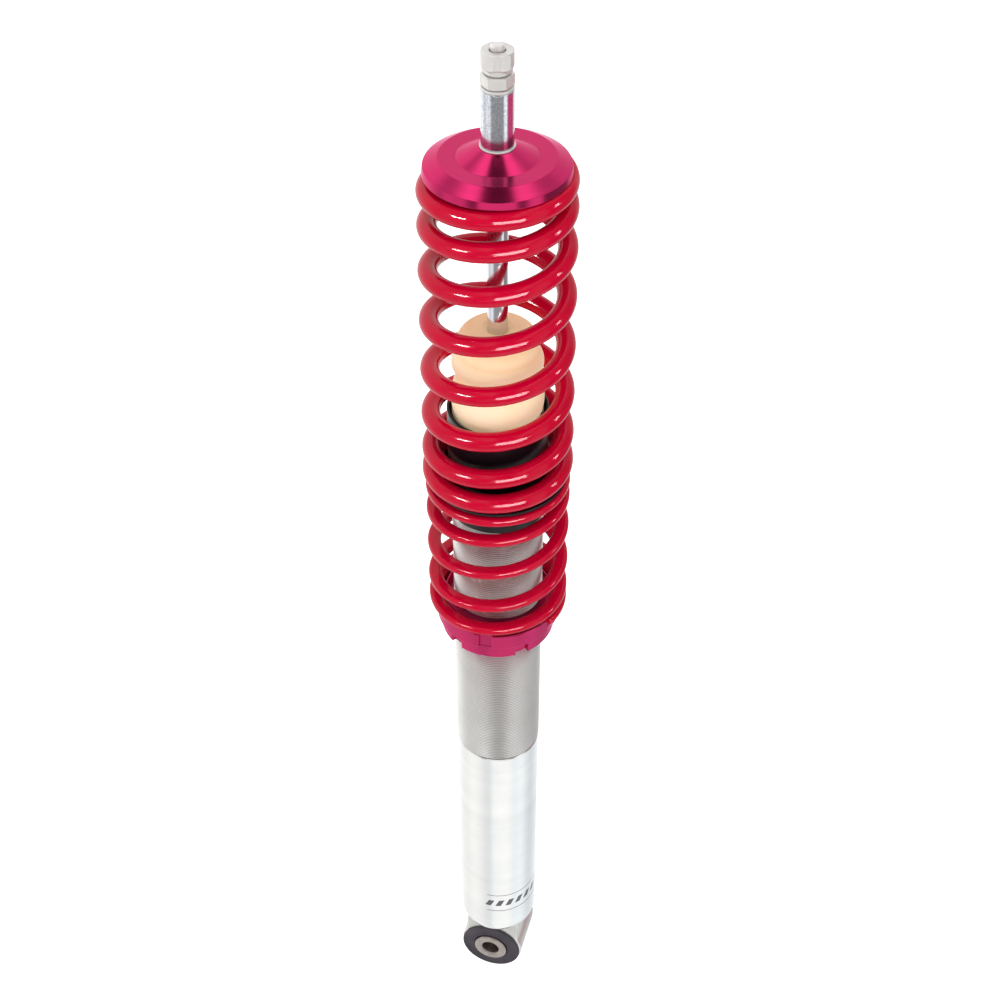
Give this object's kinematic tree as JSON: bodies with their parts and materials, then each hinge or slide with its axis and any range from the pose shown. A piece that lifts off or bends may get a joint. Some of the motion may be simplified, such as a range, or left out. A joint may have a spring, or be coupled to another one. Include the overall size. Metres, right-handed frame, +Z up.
{
  "type": "coilover",
  "caption": "Rear coilover: bushed lower eye, damper body with threaded collars, helper and main springs, bump stop and a pin top.",
  "frame": {"origin": "centre of the lower eye's bore", "axes": "+Z up along the damper's axis to the top pin; +Y along the lower eye's bore"},
  "size_m": [0.0838, 0.0838, 0.7048],
  "materials": {
    "zinc_bright_tube": "bright zinc plate, fine turned lines",
    "thread_steel": "rolled thread, zinc plated",
    "forged_eye": "zinc plated forging",
    "bush_rubber": "matt moulded rubber",
    "bush_steel": "turned steel, lightly oxidised",
    "anodised_magenta": "turned and anodised, glossy",
    "spring_red": "glossy powder coat",
    "slider_black": "satin moulded nylon",
    "bump_foam": "closed cell polyurethane foam",
    "rod_chrome": "hard chromed and ground",
    "zinc_hardware": "clear zinc plate",
    "nylon_white": "nylon",
    "inner_steel": "plain machined steel",
    "seal_rubber": "nitrile rubber",
    "valve_alloy": "machined alloy",
    "ptfe_brown": "bronze filled PTFE"
  },
  "bodies": {
    "damper_body": {"eye_loop": "forged_eye", "bush_outer_shell": "bush_steel", "bush_rubber": "bush_rubber", "bush_inner_sleeve": "bush_steel", "lower_tube": "zinc_bright_tube", "threaded_sleeve": "thread_steel", "gland_nut": "inner_steel", "rod_wiper": "seal_rubber", "rod_seal": "seal_rubber", "rod_guide": "valve_alloy", "guide_o_ring": "seal_rubber", "working_cylinder": "inner_steel", "base_valve_body": "valve_alloy", "base_valve_shim": "inner_steel", "base_valve_bolt": "inner_steel", "bump_stop": "bump_foam"},
    "perch": {"helper_spring": "spring_red"},
    "collar": {"perch_collar": "anodised_magenta"},
    "lock_ring": {"lock_ring": "anodised_magenta"},
    "slider": {"spring_slider": "slider_black", "main_spring": "spring_red"},
    "rod": {"piston_rod": "rod_chrome", "piston": "valve_alloy", "piston_band": "ptfe_brown", "compression_shim": "inner_steel", "shim_backing_washer": "inner_steel", "rebound_shim": "inner_steel", "piston_nut": "inner_steel", "rebound_stop": "seal_rubber", "upper_spring_seat": "anodised_magenta", "sleeve_washer": "zinc_hardware", "spacer_sleeve": "zinc_hardware", "nut_washer": "zinc_hardware", "lower_nut": "zinc_hardware", "thin_nut": "zinc_hardware", "top_locknut": "zinc_hardware", "locknut_insert": "nylon_white"}
  },
  "joints": [
    {"name": "height_adjust", "type": "slide", "parent": "damper_body", "child": "perch", "axis": [0, 0, 1], "range_m": [0, 0.0401]},
    {"name": "collar_turn", "type": "hinge", "parent": "perch", "child": "collar", "pos_m": [0, 0, 0.327], "axis": [0, 0, 1], "range_deg": [0, 9600]},
    {"name": "lock_ring_turn", "type": "hinge", "parent": "collar", "child": "lock_ring", "pos_m": [0, 0, 0.317], "axis": [0, 0, 1], "range_deg": [-45, 0]},
    {"name": "helper_travel", "type": "slide", "parent": "perch", "child": "slider", "axis": [0, 0, 1], "range_m": [-0.05, 0], "deforming": ["helper_spring"]},
    {"name": "stroke", "type": "slide", "parent": "slider", "child": "rod", "axis": [0, 0, 1], "range_m": [-0.055, 0], "stiffness_N_per_m": 20000, "springref_m": 0.006, "deforming": ["main_spring", "bump_stop"]}
  ],
  "couplings": [
    {"joint": "height_adjust", "follows": "collar_turn", "m_per_rad": 0.00023873},
    {"joint": "helper_travel", "follows": "stroke", "ratio": 0.9}
  ]
}
